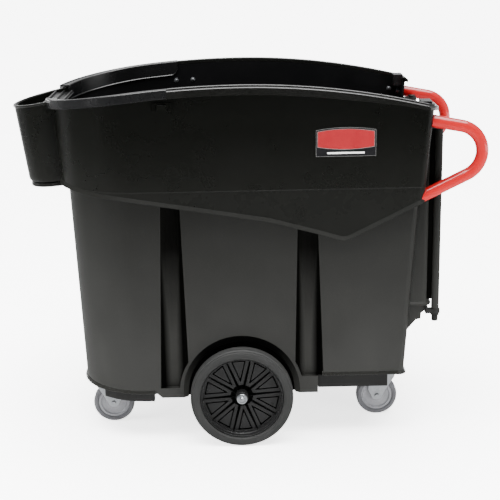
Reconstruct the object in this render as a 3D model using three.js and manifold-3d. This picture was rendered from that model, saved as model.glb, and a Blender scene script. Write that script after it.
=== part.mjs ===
// A two-wheeled waste collector cart: a deep moulded tub with a front nose, two big side wheels,
// four swivel casters and two loop handles. Millimetres, +Z up, nose towards -X, handles at +X.
// X is measured from the main axle here, and the last lines move the whole cart so that its origin
// is the middle of its bounding box, on the floor.
import * as THREE from "three";
import { mergeVertices } from "three/addons/utils/BufferGeometryUtils.js";
import Module from "manifold-3d";

const wasm = await Module();
wasm.setup();

// ---- driving dimensions ----
const AXLE_TO_MIDDLE = 18.15;
const GAP = 0.3;
const WALL = 7;

const RIM_TOP = 1080;
const RIM_PEAK_X = 12;
const RIM_FALL_FRONT = 1.8e-4;
const RIM_FALL_REAR = 2.3e-4;
const LIP_REACH = 20;
const LIP_DROP = 26;
const LIP_THICK = 5;
const LIP_REAR_X = 564;

const CREASE_Z = 778;
// The skirt's lower edge in side view, as [x, z].
const BELLY_EDGE = [
  [-600, 779],
  [-486, 775],
  [-415, 768],
  [-334, 757],
  [-221, 738],
  [-110, 720],
  [5, 702],
  [90, 685],
  [164, 666],
  [228, 647],
  [288, 629],
  [305, 627],
  [322, 629],
  [340, 636],
  [502, 723],
  [545, 747],
  [620, 788],
];
const FLOOR_TOP = 214;
const FLOOR_UNDER = 206;

const GUARD_END_X = -190;
const GUARD_PANEL_DEPTH = 47;
const MOUTH_HALF = 140;
const LEDGE_Z = 1004;

const NOSE_TIP_TOP_X = -670;
const NOSE_TIP_LOW_X = -641;
const NOSE_TOP_Z = 992;
const NOSE_LOW_Z = 755;
const SKID_THICK = 13;

const WHEEL_R = 152.4;
const WHEEL_OUT = 345;
const TYRE_WIDTH = 46;
const AXLE_R = 7.9;
const WELL_R = 160;
const WELL_BACK = 268;
const ARCH_RIDGE_R = 186;
const FRONT_SILL_Z = 170;
const REAR_SILL_Z = 200;

const CASTER_R = 63.5;
const CASTER_TRAIL = 35;
const CASTER_MOUNT_Z = 151.5;
const CASTERS = [
  { end: "front", x: -437, y: 120, trail: 1 },
  { end: "rear", x: 460, y: 108, trail: -1 },
];

const HANDLE_R = 17.5;
const HANDLE_Y = 305;
const HANDLE_BEND_R = 74;
const HANDLE_BEND = [619, 875];
const HANDLE_TOP_SLOPE = 11;
const HANDLE_LOW_SLOPE = 26;

const RAIL_R = 11.5;
const RAIL_X = 577;
const RAIL_Y = 265;
const RAIL_LOW_Z = 380;
const RAIL_WEB = 5;
const RAIL_TOP_Z = 955;
const SHELF_Z = 408;

const SIDES = [
  { side: "left", s: -1 },
  { side: "right", s: 1 },
];

// ---- materials ----
const finish = (color, roughness, metalness = 0) =>
  new THREE.MeshStandardMaterial({ color, roughness, metalness });
const TUB_BLACK = finish("#232421", 0.5);
const GUARD_BLACK = finish("#1d1e1c", 0.42);
const BASE_BLACK = finish("#2b2b2a", 0.6);
const TYRE_GREY = finish("#3e3e3d", 0.75);
const RIM_BLACK = finish("#262626", 0.5);
const ZINC = finish("#c9ccd0", 0.3, 1);
const NYLON = finish("#d8d6cc", 0.5);
const CASTER_TREAD = finish("#808086", 0.65);
const CASTER_CORE = finish("#a9a9ae", 0.55);
const HANDLE_RED = finish("#de3c42", 0.25);
const LABEL_RED = finish("#c8232c", 0.4);

// ---- solids ----
const lerp = THREE.MathUtils.lerp;
const rad = THREE.MathUtils.degToRad;

function solid(geometry) {
  const plain = geometry.clone();
  plain.deleteAttribute("normal");
  plain.deleteAttribute("uv");
  const merged = mergeVertices(plain, 1e-4);
  const mesh = new wasm.Mesh({
    numProp: 3,
    vertProperties: new Float32Array(merged.attributes.position.array),
    triVerts: new Uint32Array(merged.index.array),
  });
  return new wasm.Manifold(mesh);
}

function geometryOf(manifold) {
  const mesh = manifold.getMesh();
  const geometry = new THREE.BufferGeometry();
  geometry.setAttribute("position", new THREE.BufferAttribute(mesh.vertProperties, 3));
  geometry.setIndex(new THREE.BufferAttribute(mesh.triVerts, 1));
  const flat = geometry.toNonIndexed();
  flat.computeVertexNormals();
  return flat;
}

function box(x0, x1, y0, y1, z0, z1) {
  const geometry = new THREE.BoxGeometry(x1 - x0, y1 - y0, z1 - z0);
  geometry.translate((x0 + x1) / 2, (y0 + y1) / 2, (z0 + z1) / 2);
  return solid(geometry);
}

// A cylinder or cone frustum along Y between two Y places, with a vertex at its lowest point.
function rodY(x, z, yA, yB, rA, rB = rA, segments = 32) {
  const geometry = new THREE.CylinderGeometry(rB, rA, Math.abs(yB - yA), segments);
  if (yB < yA) geometry.rotateX(Math.PI);
  geometry.translate(0, (yA + yB) / 2, 0);
  geometry.translate(x, 0, z);
  return solid(geometry);
}

function rodZ(x, y, z0, z1, r, segments = 16) {
  const geometry = new THREE.CylinderGeometry(r, r, z1 - z0, segments);
  geometry.rotateX(Math.PI / 2);
  geometry.translate(x, y, (z0 + z1) / 2);
  return solid(geometry);
}

// A solid through closed rings of the same number of points. A ring is { z, points }, where z is a
// height or a function of x.
function loft(rings) {
  const n = rings[0].points.length;
  const position = [];
  const index = [];
  for (const { z, points } of rings) {
    for (const [x, y] of points) position.push(x, y, typeof z === "function" ? z(x) : z);
  }
  for (let k = 0; k + 1 < rings.length; k++) {
    for (let i = 0; i < n; i++) {
      const a = k * n + i;
      const b = k * n + ((i + 1) % n);
      index.push(a, b, b + n, a, b + n, a + n);
    }
  }
  const top = (rings.length - 1) * n;
  for (let i = 1; i + 1 < n; i++) {
    index.push(0, i + 1, i);
    index.push(top, top + i, top + i + 1);
  }
  const geometry = new THREE.BufferGeometry();
  geometry.setAttribute("position", new THREE.Float32BufferAttribute(position, 3));
  geometry.setIndex(index);
  return solid(geometry);
}

// A side elevation, a list of [x, z], made solid across the whole width or between two Y places.
function sideCut(points, y0 = -500, y1 = 500) {
  const shape = new THREE.Shape(points.map(([x, z]) => new THREE.Vector2(x, z)));
  const geometry = new THREE.ExtrudeGeometry(shape, { depth: y1 - y0, bevelEnabled: false });
  geometry.rotateX(Math.PI / 2);
  geometry.translate(0, y1, 0);
  return solid(geometry);
}

function join(...solids) {
  return wasm.Manifold.union(solids);
}

// ---- the tub's outlines ----
function arc(cx, cy, r, from, to, steps) {
  return Array.from({ length: steps + 1 }, (_, i) => {
    const a = rad(lerp(from, to, i / steps));
    return [cx + r * Math.cos(a), cy + r * Math.sin(a)];
  });
}

// A plan outline, anticlockwise, with big front corners and small rear ones.
function outline({ front, rear, half, frontR, rearR }, inset = 0) {
  const f = Math.max(frontR - inset, 4);
  const r = Math.max(rearR - inset, 3);
  const x0 = front + inset;
  const x1 = rear - inset;
  const h = half - inset;
  return [
    ...arc(x1 - r, h - r, r, 0, 90, 3),
    ...arc(x0 + f, h - f, f, 90, 180, 9),
    ...arc(x0 + f, -h + f, f, 180, 270, 9),
    ...arc(x1 - r, -h + r, r, 270, 360, 3),
  ];
}

const SKIRT_TOP = { front: -541, rear: 560, half: 340, frontR: 241, rearR: 22 };
const SKIRT_CREASE = { front: -525, rear: 535, half: 330, frontR: 232, rearR: 22 };
const SKIRT_LOW = { front: -503, rear: 519, half: 309, frontR: 222, rearR: 22 };
const BODY_TOP = { front: -507, rear: 526, half: 305, frontR: 214, rearR: 22 };
const BODY_LOW = { front: -482, rear: 480, half: 288, frontR: 200, rearR: 20 };
const BODY_TOP_Z = 800;
const BODY_LOW_Z = 120;

function rimZ(x) {
  const fall = x < RIM_PEAK_X ? RIM_FALL_FRONT : RIM_FALL_REAR;
  return RIM_TOP - fall * (x - RIM_PEAK_X) ** 2;
}

function bodyHalf(z) {
  return lerp(BODY_LOW.half, BODY_TOP.half, (z - BODY_LOW_Z) / (BODY_TOP_Z - BODY_LOW_Z));
}

function skirtHalf(z) {
  return lerp(SKIRT_CREASE.half, SKIRT_TOP.half, (z - CREASE_Z) / (1100 - CREASE_Z));
}

// The lip hangs down less towards the rear corners, clear of the handles.
function lipLow(x) {
  return -LIP_DROP + 0.04 * Math.max(0, x - 300);
}

// Points along the arched rim, raised or lowered by an offset, from one x to another.
function rimLine(from, to, offset, steps = 16) {
  return Array.from({ length: steps + 1 }, (_, i) => {
    const x = lerp(from, to, i / steps);
    return [x, rimZ(x) + (typeof offset === "function" ? offset(x) : offset)];
  });
}

// The overhanging skirt's full block: vertical-ish above the crease, sloping in below it.
function skirtBlock(inset) {
  return loft([
    { z: 600, points: outline(SKIRT_LOW, inset) },
    { z: CREASE_Z, points: outline(SKIRT_CREASE, inset) },
    { z: 1100, points: outline(SKIRT_TOP, inset) },
  ]);
}

// A slice of the skirt block that follows the arched rim between two offsets from it.
function rimSlice(inset, low, high) {
  const band = sideCut([...rimLine(-640, 640, low), ...rimLine(640, -640, high)]);
  return skirtBlock(inset).intersect(band);
}

function skirt(inset) {
  const low = BELLY_EDGE.map(([x, z]) => [x, z + inset]);
  return skirtBlock(inset).intersect(sideCut([...low, ...rimLine(620, -600, inset ? 20 : 0)]));
}

// One vertical channel, cut into a side panel above its sill, narrow at the top and wider below.
function channel(s, end, grow) {
  const shift = end < 0 ? 4 : 0;
  const sill = (end < 0 ? FRONT_SILL_Z : REAR_SILL_Z) - grow;
  const section = (z) => {
    const near = 158 - shift + 0.022 * (z - 160) - grow;
    const far = 245 - shift - 0.034 * (z - 207) + grow;
    const face = bodyHalf(z) - grow;
    const points = [
      [near, 360],
      [near, face],
      [near + 15, face - 18],
      [far - 15, face - 18],
      [far, face],
      [far, 360],
    ].map(([x, y]) => [end * x, s * y]);
    return { z, points: s * end > 0 ? points : points.reverse() };
  };
  const cut = loft([section(sill), section(BODY_TOP_Z)]);
  return cut.subtract(rodY(0, WHEEL_R, s * 200, s * 400, ARCH_RIDGE_R - grow, undefined, 48));
}

// One wheel arch: a shallow round recess with a flared edge.
function wheelWell(s, grow) {
  const back = WELL_BACK - grow;
  const round = rodY(0, WHEEL_R, s * back, s * 360, WELL_R + grow, undefined, 48);
  const flare = rodY(0, WHEEL_R, s * (back + 2), s * (back + 42), WELL_R + grow, WELL_R + 30 + grow, 48);
  const mouth = box(-WELL_R - grow, WELL_R + grow, ...sorted(s * back, s * 360), 40, WHEEL_R);
  return join(round, flare, mouth);
}

function sorted(a, b) {
  return a < b ? [a, b] : [b, a];
}

// The lower body with its channels and wheel arches; its foot steps up towards the rear.
function lowerBody(inset) {
  let body = loft([
    { z: BODY_LOW_Z, points: outline(BODY_LOW, inset) },
    { z: BODY_TOP_Z, points: outline(BODY_TOP, inset) },
  ]);
  for (const { s } of SIDES) {
    for (const end of [-1, 1]) body = body.subtract(channel(s, end, inset));
    body = body.subtract(wheelWell(s, inset));
  }
  if (inset) return body;
  const foot = [
    [-600, 152],
    [-252, 152],
    [-238, 139],
    [-150, 139],
    [150, 147],
    [228, 147],
    [229, 200],
    [600, 200],
    [600, 900],
    [-600, 900],
  ];
  return body.intersect(sideCut(foot));
}

// The shallow box that stands out from the rear wall, above the shelf.
function rearBulge(inset) {
  const plan = { front: 400, rear: 562, half: 272, frontR: 20, rearR: 26 };
  const block = loft([
    { z: SHELF_Z + inset, points: outline(plan, inset) },
    { z: 940, points: outline(plan, inset) },
  ]);
  const slope = [
    [380, 300],
    [620, 300],
    [620, 840],
    [562 - inset, 905],
    [546 - inset, 945],
    [380, 945],
  ];
  return block.intersect(sideCut(slope));
}

function gusset(s) {
  const points = [
    [476, 412],
    [476, 330],
    [493, 330],
    [521, 363],
    [535, 366],
    [536, 384],
    [547, 392],
    [547, 412],
  ];
  return sideCut(points, ...sorted(s * 256, s * 268));
}

// ---- the nose ----
const noseTopZ = (x) => NOSE_TOP_Z + 0.2 * (x - NOSE_TIP_TOP_X);
const noseLowZ = (x) => NOSE_LOW_Z + 0.15 * (x - NOSE_TIP_LOW_X);

function nosePlan(tip, r, inset, back) {
  const cx = tip + r;
  const half = r - inset;
  return [[back, half], ...arc(cx, 0, half, 90, 270, 12), [back, -half]];
}

function noseBlock(inset, lift, raise, back) {
  return loft([
    { z: (x) => noseLowZ(x) + lift, points: nosePlan(NOSE_TIP_LOW_X, 131, inset, back) },
    { z: (x) => noseTopZ(x) + raise, points: nosePlan(NOSE_TIP_TOP_X, 150, inset, back) },
  ]);
}

function noseBead() {
  const points = nosePlan(NOSE_TIP_TOP_X, 150, -4, -500);
  return loft([
    { z: (x) => noseTopZ(x) - 8, points },
    { z: noseTopZ, points },
  ]);
}

// ---- the tub ----
function tub() {
  const lip = rimSlice(-LIP_REACH, lipLow, 0).subtract(
    rimSlice(-LIP_REACH + 4.5, -80, -LIP_THICK),
  );
  const guardSeat = sideCut([
    ...rimLine(-600, GUARD_END_X + GAP, -LIP_THICK - GAP, 8),
    [GUARD_END_X + GAP, 1200],
    [-600, 1200],
  ]);
  const upper = skirt(0).subtract(guardSeat);
  const shelfLip = loft([SHELF_Z, SHELF_Z + 18].map((z) => ({
    z,
    points: outline({ front: 420, rear: 566, half: 276, frontR: 20, rearR: 28 }),
  })));
  const nose = noseBlock(0, 0, -6, -480);
  const outside = join(
    upper,
    lip.intersect(box(GUARD_END_X + GAP, LIP_REAR_X, -500, 500, 900, 1200)),
    lowerBody(0),
    rearBulge(0),
    shelfLip,
    nose,
    noseBead(),
    gusset(-1),
    gusset(1),
  );
  const floor = box(-600, 600, -400, 400, FLOOR_UNDER, FLOOR_TOP);
  const inside = join(
    skirt(WALL),
    lowerBody(WALL).subtract(floor),
    rearBulge(WALL),
  );
  const frontWall = box(-700, -541 + WALL + 10, -MOUTH_HALF - 60, MOUTH_HALF + 60, 780, 1200);
  const pocket = noseBlock(6, 6, 60, -500).subtract(skirtBlock(-GAP));
  const mouth = box(-700, -480, -MOUTH_HALF - 2, MOUTH_HALF + 2, LEDGE_Z - 8, 1200);
  const lowRear = sideCut([[500, 948], [700, 948], [700, 1200], [500, 1200]], -258, 258);
  let result = outside.subtract(inside);
  result = result.subtract(pocket);
  result = result.subtract(mouth.intersect(frontWall));
  result = result.subtract(lowRear);
  for (const { s } of SIDES) {
    result = result.subtract(box(-12, 12, ...sorted(s * 240, s * 320), 60, WHEEL_R + 12));
    for (const bolt of handleBolts(s)) result = result.subtract(bolt.hole);
  }
  return result;
}

// ---- front rim guard: a U-shaped cap over the front of the rim, with a ribbed ledge ----
function frontRimGuard() {
  const inner = WALL + 0.4;
  let guard = rimSlice(-LIP_REACH, lipLow, 0).subtract(
    rimSlice(-LIP_REACH + 4.5, -80, -LIP_THICK),
  );
  guard = join(guard, rimSlice(inner, -GUARD_PANEL_DEPTH, 0));
  guard = guard.subtract(rimSlice(inner + 4, -120, 20));
  guard = guard.intersect(box(-700, GUARD_END_X, -500, 500, 900, 1200));
  guard = guard.subtract(box(-700, -500, -MOUTH_HALF, MOUTH_HALF, LEDGE_Z - 1, 1200));
  const noseClear = noseBlock(-9, -10, 40, -500).intersect(box(-700, -500, -200, 200, 700, 1020));
  guard = guard.subtract(noseClear.subtract(skirtBlock(inner)));
  const ledge = box(-570, -508, -MOUTH_HALF + 1, MOUTH_HALF - 1, LEDGE_Z - 6, LEDGE_Z);
  const ribs = [-564, -539, -514].map((x) =>
    box(x - 3, x + 3, -MOUTH_HALF + 1, MOUTH_HALF - 1, LEDGE_Z - 1, LEDGE_Z + 6),
  );
  return join(guard, ledge, ...ribs);
}

function noseSkidPlate() {
  const points = nosePlan(NOSE_TIP_LOW_X + 7, 124, 0, -509);
  return loft([
    { z: (x) => noseLowZ(x) - SKID_THICK, points },
    { z: (x) => noseLowZ(x) - GAP, points },
  ]).subtract(skirtBlock(-GAP));
}

// ---- base mouldings under the floor ----
function footPlan(inset) {
  return outline(BODY_LOW, inset);
}

function frontBase() {
  const prism = (inset, z0, z1) => loft([
    { z: z0, points: footPlan(inset) },
    { z: z1, points: footPlan(inset) },
  ]);
  const block = prism(12, 127, FLOOR_UNDER - GAP).intersect(box(-600, -262, -400, 400, 0, 300));
  const band = prism(3, 127, 151.6).intersect(box(-416, -262, -400, 400, 0, 300));
  const hollow = prism(26, 100, CASTER_MOUNT_Z).intersect(box(-600, -240, -400, 400, 0, 300));
  const open = box(-600, -416, -400, 400, 100, CASTER_MOUNT_Z);
  return join(block, band).subtract(hollow).subtract(open);
}

function rearBase() {
  const tray = box(230, 438, -277, 277, 158, 199.6);
  const well = box(240, 412, -262, 262, 100, 190);
  const deck = box(232, 468, -240, 240, 180, FLOOR_UNDER - GAP);
  const tongue = box(405, 470, -172, 172, CASTER_MOUNT_Z, 200);
  return join(tray.subtract(well), deck, tongue);
}

// ---- main wheels ----
// A turned piece about Y. Its profile runs from axis to axis, or closes on itself.
function lathe(profile, s, segments) {
  const closed = profile[0][0] > 0 ? [...profile, profile[0]] : profile;
  const points = closed.map(([r, y]) => new THREE.Vector2(r, y));
  const geometry = new THREE.LatheGeometry(points, segments);
  if (s < 0) geometry.rotateX(Math.PI);
  return geometry;
}

const TYRE_IN = WHEEL_OUT - TYRE_WIDTH;
const TYRE_PROFILE = [
  [124, TYRE_IN + 4],
  [143, TYRE_IN],
  [149.5, TYRE_IN + 3],
  [WHEEL_R, TYRE_IN + 10],
  [WHEEL_R, WHEEL_OUT - 10],
  [149.5, WHEEL_OUT - 3],
  [143, WHEEL_OUT],
  [124, WHEEL_OUT - 2],
];
const RIM_PROFILE = [
  [12.4, 284],
  [18, 284],
  [18, 300],
  [60, 301],
  [107, 304],
  [110, TYRE_IN + 5],
  [123.6, TYRE_IN + 5],
  [123.6, WHEEL_OUT - 4],
  [118.5, WHEEL_OUT - 4],
  [116, 320],
  [108, 314],
  [60, 312.5],
  [18, 311],
  [18, 336],
  [12.4, 336],
];
const BUSH_PROFILE = [
  [8.2, 283.6],
  [12.1, 283.6],
  [12.1, 336.2],
  [8.2, 336.2],
];
const WASHER_PROFILE = [
  [8.2, 279],
  [15, 279],
  [15, 282.5],
  [8.2, 282.5],
];
// The cap nut closes over the axle's end.
const CAP_PROFILE = [
  [0, 343.4],
  [8.2, 343.4],
  [8.2, 337.5],
  [18.5, 337.5],
  [18.5, 344.5],
  [12, 346],
  [9, 350],
  [0, 350.5],
];

// ---- casters, drawn about the swivel axis with the wheel towards +x ----
function swivelPlate() {
  const plate = box(-31, 31, -40, 40, CASTER_MOUNT_Z - 3.3, CASTER_MOUNT_Z - GAP);
  const race = rodZ(0, 0, 141.5, CASTER_MOUNT_Z - 3, 24);
  const pin = rodZ(0, 0, 129, 142, 6);
  const nut = rodZ(0, 0, 129, 134.5, 9.5, 6);
  return join(plate, race, pin, nut);
}

function fork() {
  const outer = 21.6;
  const inner = 18.8;
  const leg = [
    [-23, 140],
    [-18, 126],
    [8, 84],
    [26, 55],
    [35, 51.5],
    [44, 55],
    [62, 84],
    [60, 118],
    [46, 140],
  ];
  const legs = sideCut(leg, -outer, outer).subtract(box(-60, 90, -inner, inner, 30, 135.5));
  const crown = rodZ(0, 0, 135.5, 141.2, 23);
  const body = join(legs, crown);
  const bored = body.subtract(rodZ(0, 0, 125, 150, 10.2)).subtract(
    rodY(CASTER_TRAIL, CASTER_R, -40, 40, 5.2, undefined, 16),
  );
  return bored;
}

const CORE_PROFILE = [
  [5.6, -15.5],
  [12, -9],
  [39, -9],
  [48, -15],
  [48, 15],
  [39, 9],
  [12, 9],
  [5.6, 15.5],
];
const TREAD_PROFILE = [
  [48.3, -15],
  [59, -16],
  [CASTER_R, -11],
  [CASTER_R, 11],
  [59, 16],
  [48.3, 15],
];

function casterAxle() {
  return join(
    rodY(CASTER_TRAIL, CASTER_R, -25, 25, 4.9, undefined, 16),
    rodY(CASTER_TRAIL, CASTER_R, 21.9, 27, 8, undefined, 6),
    rodY(CASTER_TRAIL, CASTER_R, -27, -21.9, 8, undefined, 6),
  );
}

// ---- handles ----
class HandleLine extends THREE.Curve {
  // Two straight legs, tangent to one big bend.
  constructor(topAngle, lowAngle) {
    super();
    const [cx, cz] = HANDLE_BEND;
    const r = HANDLE_BEND_R;
    const at = (a) => new THREE.Vector3(cx + r * Math.cos(a), 0, cz + r * Math.sin(a));
    this.from = rad(90 - topAngle);
    this.to = rad(-90 + lowAngle);
    this.at = at;
    const top = at(this.from);
    const low = at(this.to);
    this.start = top.clone().add(this.along(this.from, 95));
    this.end = low.clone().add(this.along(this.to, -150));
    this.lengths = [95, r * (this.from - this.to), 150];
    this.total = this.lengths.reduce((a, b) => a + b);
  }

  along(a, length) {
    return new THREE.Vector3(-Math.sin(a) * length, 0, Math.cos(a) * length);
  }

  getPoint(t, target = new THREE.Vector3()) {
    const d = t * this.total;
    const [first, bend] = this.lengths;
    if (d < first) return target.lerpVectors(this.start, this.at(this.from), d / first);
    if (d > first + bend) {
      return target.lerpVectors(this.at(this.to), this.end, (d - first - bend) / this.lengths[2]);
    }
    return target.copy(this.at(lerp(this.from, this.to, (d - first) / bend)));
  }
}

const HANDLE_LINE = new HandleLine(HANDLE_TOP_SLOPE, HANDLE_LOW_SLOPE);

function circle(r, segments) {
  return new THREE.Shape(arc(0, 0, r, 0, 360, segments).slice(1).map(([x, y]) => new THREE.Vector2(x, y)));
}

// The two bolts that hold one handle: heads inside the tub, shanks into the handle's legs.
function handleBolts(s) {
  return [
    { level: "upper", x: 552, z: 961, tilt: 4 },
    { level: "lower", x: 533, z: 751, tilt: 4 },
  ].map(({ level, x, z, tilt }) => {
    const place = (geometry) => {
      geometry.rotateZ(-Math.PI / 2);
      geometry.rotateY(rad(-tilt) * -1);
      geometry.translate(x, s * HANDLE_Y, z);
      return solid(geometry);
    };
    const cylinder = (r, x0, x1, n) => {
      const geometry = new THREE.CylinderGeometry(r, r, x1 - x0, n);
      geometry.translate(0, (x0 + x1) / 2, 0);
      return place(geometry);
    };
    return {
      level,
      bolt: join(cylinder(5, -16, 26, 16), cylinder(9, -22, -13, 6)),
      hole: cylinder(5.4, -30, 30, 16),
    };
  });
}

function handle(s) {
  const geometry = new THREE.ExtrudeGeometry(circle(HANDLE_R, 16), {
    steps: 26,
    extrudePath: HANDLE_LINE,
    bevelEnabled: false,
  });
  geometry.translate(0, s * HANDLE_Y, 0);
  let bar = solid(geometry);
  bar = bar.subtract(skirtBlock(-0.4)).subtract(lowerBody(-0.4)).subtract(rearBulge(-0.4));
  for (const bolt of handleBolts(s)) bar = bar.subtract(bolt.hole);
  return bar;
}

function cornerBlock(s) {
  const outer = box(516, 548, ...sorted(s * 268, s * 322), 985, 1021);
  return outer.subtract(skirtBlock(0).subtract(skirtBlock(WALL + GAP)));
}

// ---- rear rails ----
function railArm(s, from, z0, z1) {
  const arm = join(
    box(from, RAIL_X, ...sorted(s * (RAIL_Y - 12), s * (RAIL_Y + 12)), z0, z1),
    rodZ(RAIL_X, s * RAIL_Y, z0, z1, RAIL_R + 3.5),
  );
  return arm
    .subtract(rearBulge(-GAP))
    .subtract(skirtBlock(-GAP))
    .subtract(rodZ(RAIL_X, s * RAIL_Y, z0 - 5, z1 + 5, RAIL_R + GAP));
}

// The lower arm hangs from the shelf by a short lug.
function railArmLower(s) {
  const lug = box(548, 554, ...sorted(s * (RAIL_Y - 12), s * (RAIL_Y + 12)), 384, SHELF_Z - GAP);
  return join(railArm(s, 548, 384, 396), lug.subtract(gusset(s)));
}

// A round rail on a thin upright web that fills the space between it and the rear box.
function railTube(s) {
  const tube = rodZ(RAIL_X, s * RAIL_Y, RAIL_LOW_Z, RAIL_TOP_Z, RAIL_R);
  const side = sorted(s * RAIL_Y - RAIL_WEB / 2, s * RAIL_Y + RAIL_WEB / 2);
  const web = box(545, RAIL_X, ...side, SHELF_Z + 19, 936 - GAP)
    .subtract(rearBulge(-GAP))
    .subtract(skirtBlock(-GAP));
  return join(tube, web).subtract(rodZ(RAIL_X, s * RAIL_Y, RAIL_LOW_Z - 1, RAIL_LOW_Z + 30, 8));
}

function railPlug(s) {
  return join(
    rodZ(RAIL_X, s * RAIL_Y, RAIL_LOW_Z - 21, RAIL_LOW_Z - GAP, 9.6),
    rodZ(RAIL_X, s * RAIL_Y, RAIL_LOW_Z - 2, RAIL_LOW_Z + 20, 7.7),
  );
}

// ---- small parts on the rim and the label ----
function rimHook(s) {
  const wall = skirtHalf(1020) + GAP + 0.3;
  const pad = box(-232, -178, ...sorted(s * wall, s * (wall + 5)), 1010, 1034);
  const tongue = box(-218, -192, ...sorted(s * wall, s * (wall + 14)), 1010, 1015);
  const tip = box(-218, -192, ...sorted(s * (wall + 10), s * (wall + 14)), 1010, 1028);
  return join(pad, tongue, tip).subtract(skirtBlock(-GAP));
}

function decalGeometry() {
  const shape = new THREE.Shape();
  shape.moveTo(-84, -41);
  shape.lineTo(84, -41);
  shape.lineTo(84, 34);
  shape.quadraticCurveTo(0, 50, -84, 34);
  shape.closePath();
  const geometry = new THREE.ExtrudeGeometry(shape, {
    depth: 1,
    bevelEnabled: false,
    curveSegments: 8,
  });
  geometry.rotateX(Math.PI / 2);
  return geometry;
}

// ---- assembly ----
const cart = new THREE.Group();
cart.name = "waste_collector_cart";
cart.position.x = -AXLE_TO_MIDDLE;

function add(name, shape, material, parent = cart) {
  const geometry = shape.isBufferGeometry ? shape : geometryOf(shape);
  const mesh = new THREE.Mesh(geometry, material);
  mesh.name = name;
  parent.add(mesh);
  return mesh;
}

add("tub", tub(), TUB_BLACK);
add("front_rim_guard", frontRimGuard(), GUARD_BLACK);
add("nose_skid_plate", noseSkidPlate(), BASE_BLACK);
add("front_base", frontBase(), BASE_BLACK);
add("rear_base", rearBase(), BASE_BLACK);
add("axle", rodY(0, 0, -343, 343, AXLE_R, undefined, 24), ZINC).position.z = WHEEL_R;

for (const { side, s } of SIDES) {
  const bracket = box(-38, 38, ...sorted(s * 190, s * 236), 136, FLOOR_UNDER - GAP).subtract(
    rodY(0, WHEEL_R, s * 180, s * 250, AXLE_R + GAP, undefined, 24),
  );
  add("axle_bracket_" + side, bracket, BASE_BLACK);

  const wheel = new THREE.Group();
  wheel.position.z = WHEEL_R;
  cart.add(wheel);
  add("wheel_tyre_" + side, lathe(TYRE_PROFILE, s, 48), TYRE_GREY, wheel);
  add("wheel_rim_" + side, lathe(RIM_PROFILE, s, 32), RIM_BLACK, wheel);
  add("wheel_bush_" + side, lathe(BUSH_PROFILE, s, 16), NYLON, wheel);
  add("wheel_washer_" + side, lathe(WASHER_PROFILE, s, 20), ZINC, wheel);
  add("wheel_cap_nut_" + side, lathe(CAP_PROFILE, s, 24), ZINC, wheel);

  for (const { end, x, y, trail } of CASTERS) {
    const caster = new THREE.Group();
    const name = "caster_" + end + "_" + side;
    caster.position.set(x, s * y, 0);
    if (trail < 0) caster.rotation.z = Math.PI;
    cart.add(caster);
    add(name + "_swivel_plate", swivelPlate(), ZINC, caster);
    add(name + "_fork", fork(), ZINC, caster);
    const core = add(name + "_wheel_core", lathe(CORE_PROFILE, 1, 20), CASTER_CORE, caster);
    const tread = add(name + "_tread", lathe(TREAD_PROFILE, 1, 28), CASTER_TREAD, caster);
    for (const part of [core, tread]) part.position.set(CASTER_TRAIL, 0, CASTER_R);
    add(name + "_axle_bolt", casterAxle(), ZINC, caster);
  }

  add("handle_" + side, handle(s), HANDLE_RED);
  for (const { level, bolt } of handleBolts(s)) {
    add("handle_bolt_" + level + "_" + side, bolt, ZINC);
  }
  add("corner_block_" + side, cornerBlock(s), GUARD_BLACK);
  add("rail_tube_" + side, railTube(s), BASE_BLACK);
  add("rail_arm_upper_" + side, railArm(s, 536, 936, 948), BASE_BLACK);
  add("rail_arm_lower_" + side, railArmLower(s), BASE_BLACK);
  add("rail_end_plug_" + side, railPlug(s), BASE_BLACK);
  add("rim_hook_" + side, rimHook(s), GUARD_BLACK);

  const labelPlace = new THREE.Group();
  labelPlace.position.set(305, s * (skirtHalf(914) + 1), 914);
  labelPlace.rotation.x = s * Math.atan2(SKIRT_TOP.half - SKIRT_CREASE.half, 1100 - CREASE_Z) * -1;
  cart.add(labelPlace);
  const label = add("label_" + side, decalGeometry(), LABEL_RED, labelPlace);
  label.position.y = s < 0 ? 0.4 : 0.6;
}

export default cart;
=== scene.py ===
# A mobile waste collector cart: the finished look of every piece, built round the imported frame.
# Shapes are drawn in millimetres, and raw() turns them into metres. X is measured from the main
# axle, nose towards -X, handles at +X, until place() moves the piece to the frame. Z is up from
# the floor. Materials, lights and the camera are in metres.
import math

import bmesh
import bpy
from mathutils import Matrix, Vector


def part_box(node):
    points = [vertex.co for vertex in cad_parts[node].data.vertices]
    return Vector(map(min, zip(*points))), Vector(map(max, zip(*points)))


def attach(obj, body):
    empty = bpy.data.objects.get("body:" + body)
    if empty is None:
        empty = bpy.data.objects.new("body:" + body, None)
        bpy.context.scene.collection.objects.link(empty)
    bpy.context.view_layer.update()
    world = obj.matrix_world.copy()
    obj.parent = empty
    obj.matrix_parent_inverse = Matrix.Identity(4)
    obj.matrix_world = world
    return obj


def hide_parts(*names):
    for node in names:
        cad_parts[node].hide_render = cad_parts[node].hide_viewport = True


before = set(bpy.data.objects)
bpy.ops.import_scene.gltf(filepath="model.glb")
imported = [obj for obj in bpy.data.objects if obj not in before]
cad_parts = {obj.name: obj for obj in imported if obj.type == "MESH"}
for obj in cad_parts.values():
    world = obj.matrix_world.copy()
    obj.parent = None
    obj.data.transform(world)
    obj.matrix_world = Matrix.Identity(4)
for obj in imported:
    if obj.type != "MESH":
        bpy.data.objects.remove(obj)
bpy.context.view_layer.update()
scene = bpy.context.scene

MM = 0.001
axle_low, axle_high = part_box("axle")
AXLE_X = (axle_low.x + axle_high.x) / 2
TO_ROW = Matrix.Translation((AXLE_X, 0, 0))

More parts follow.
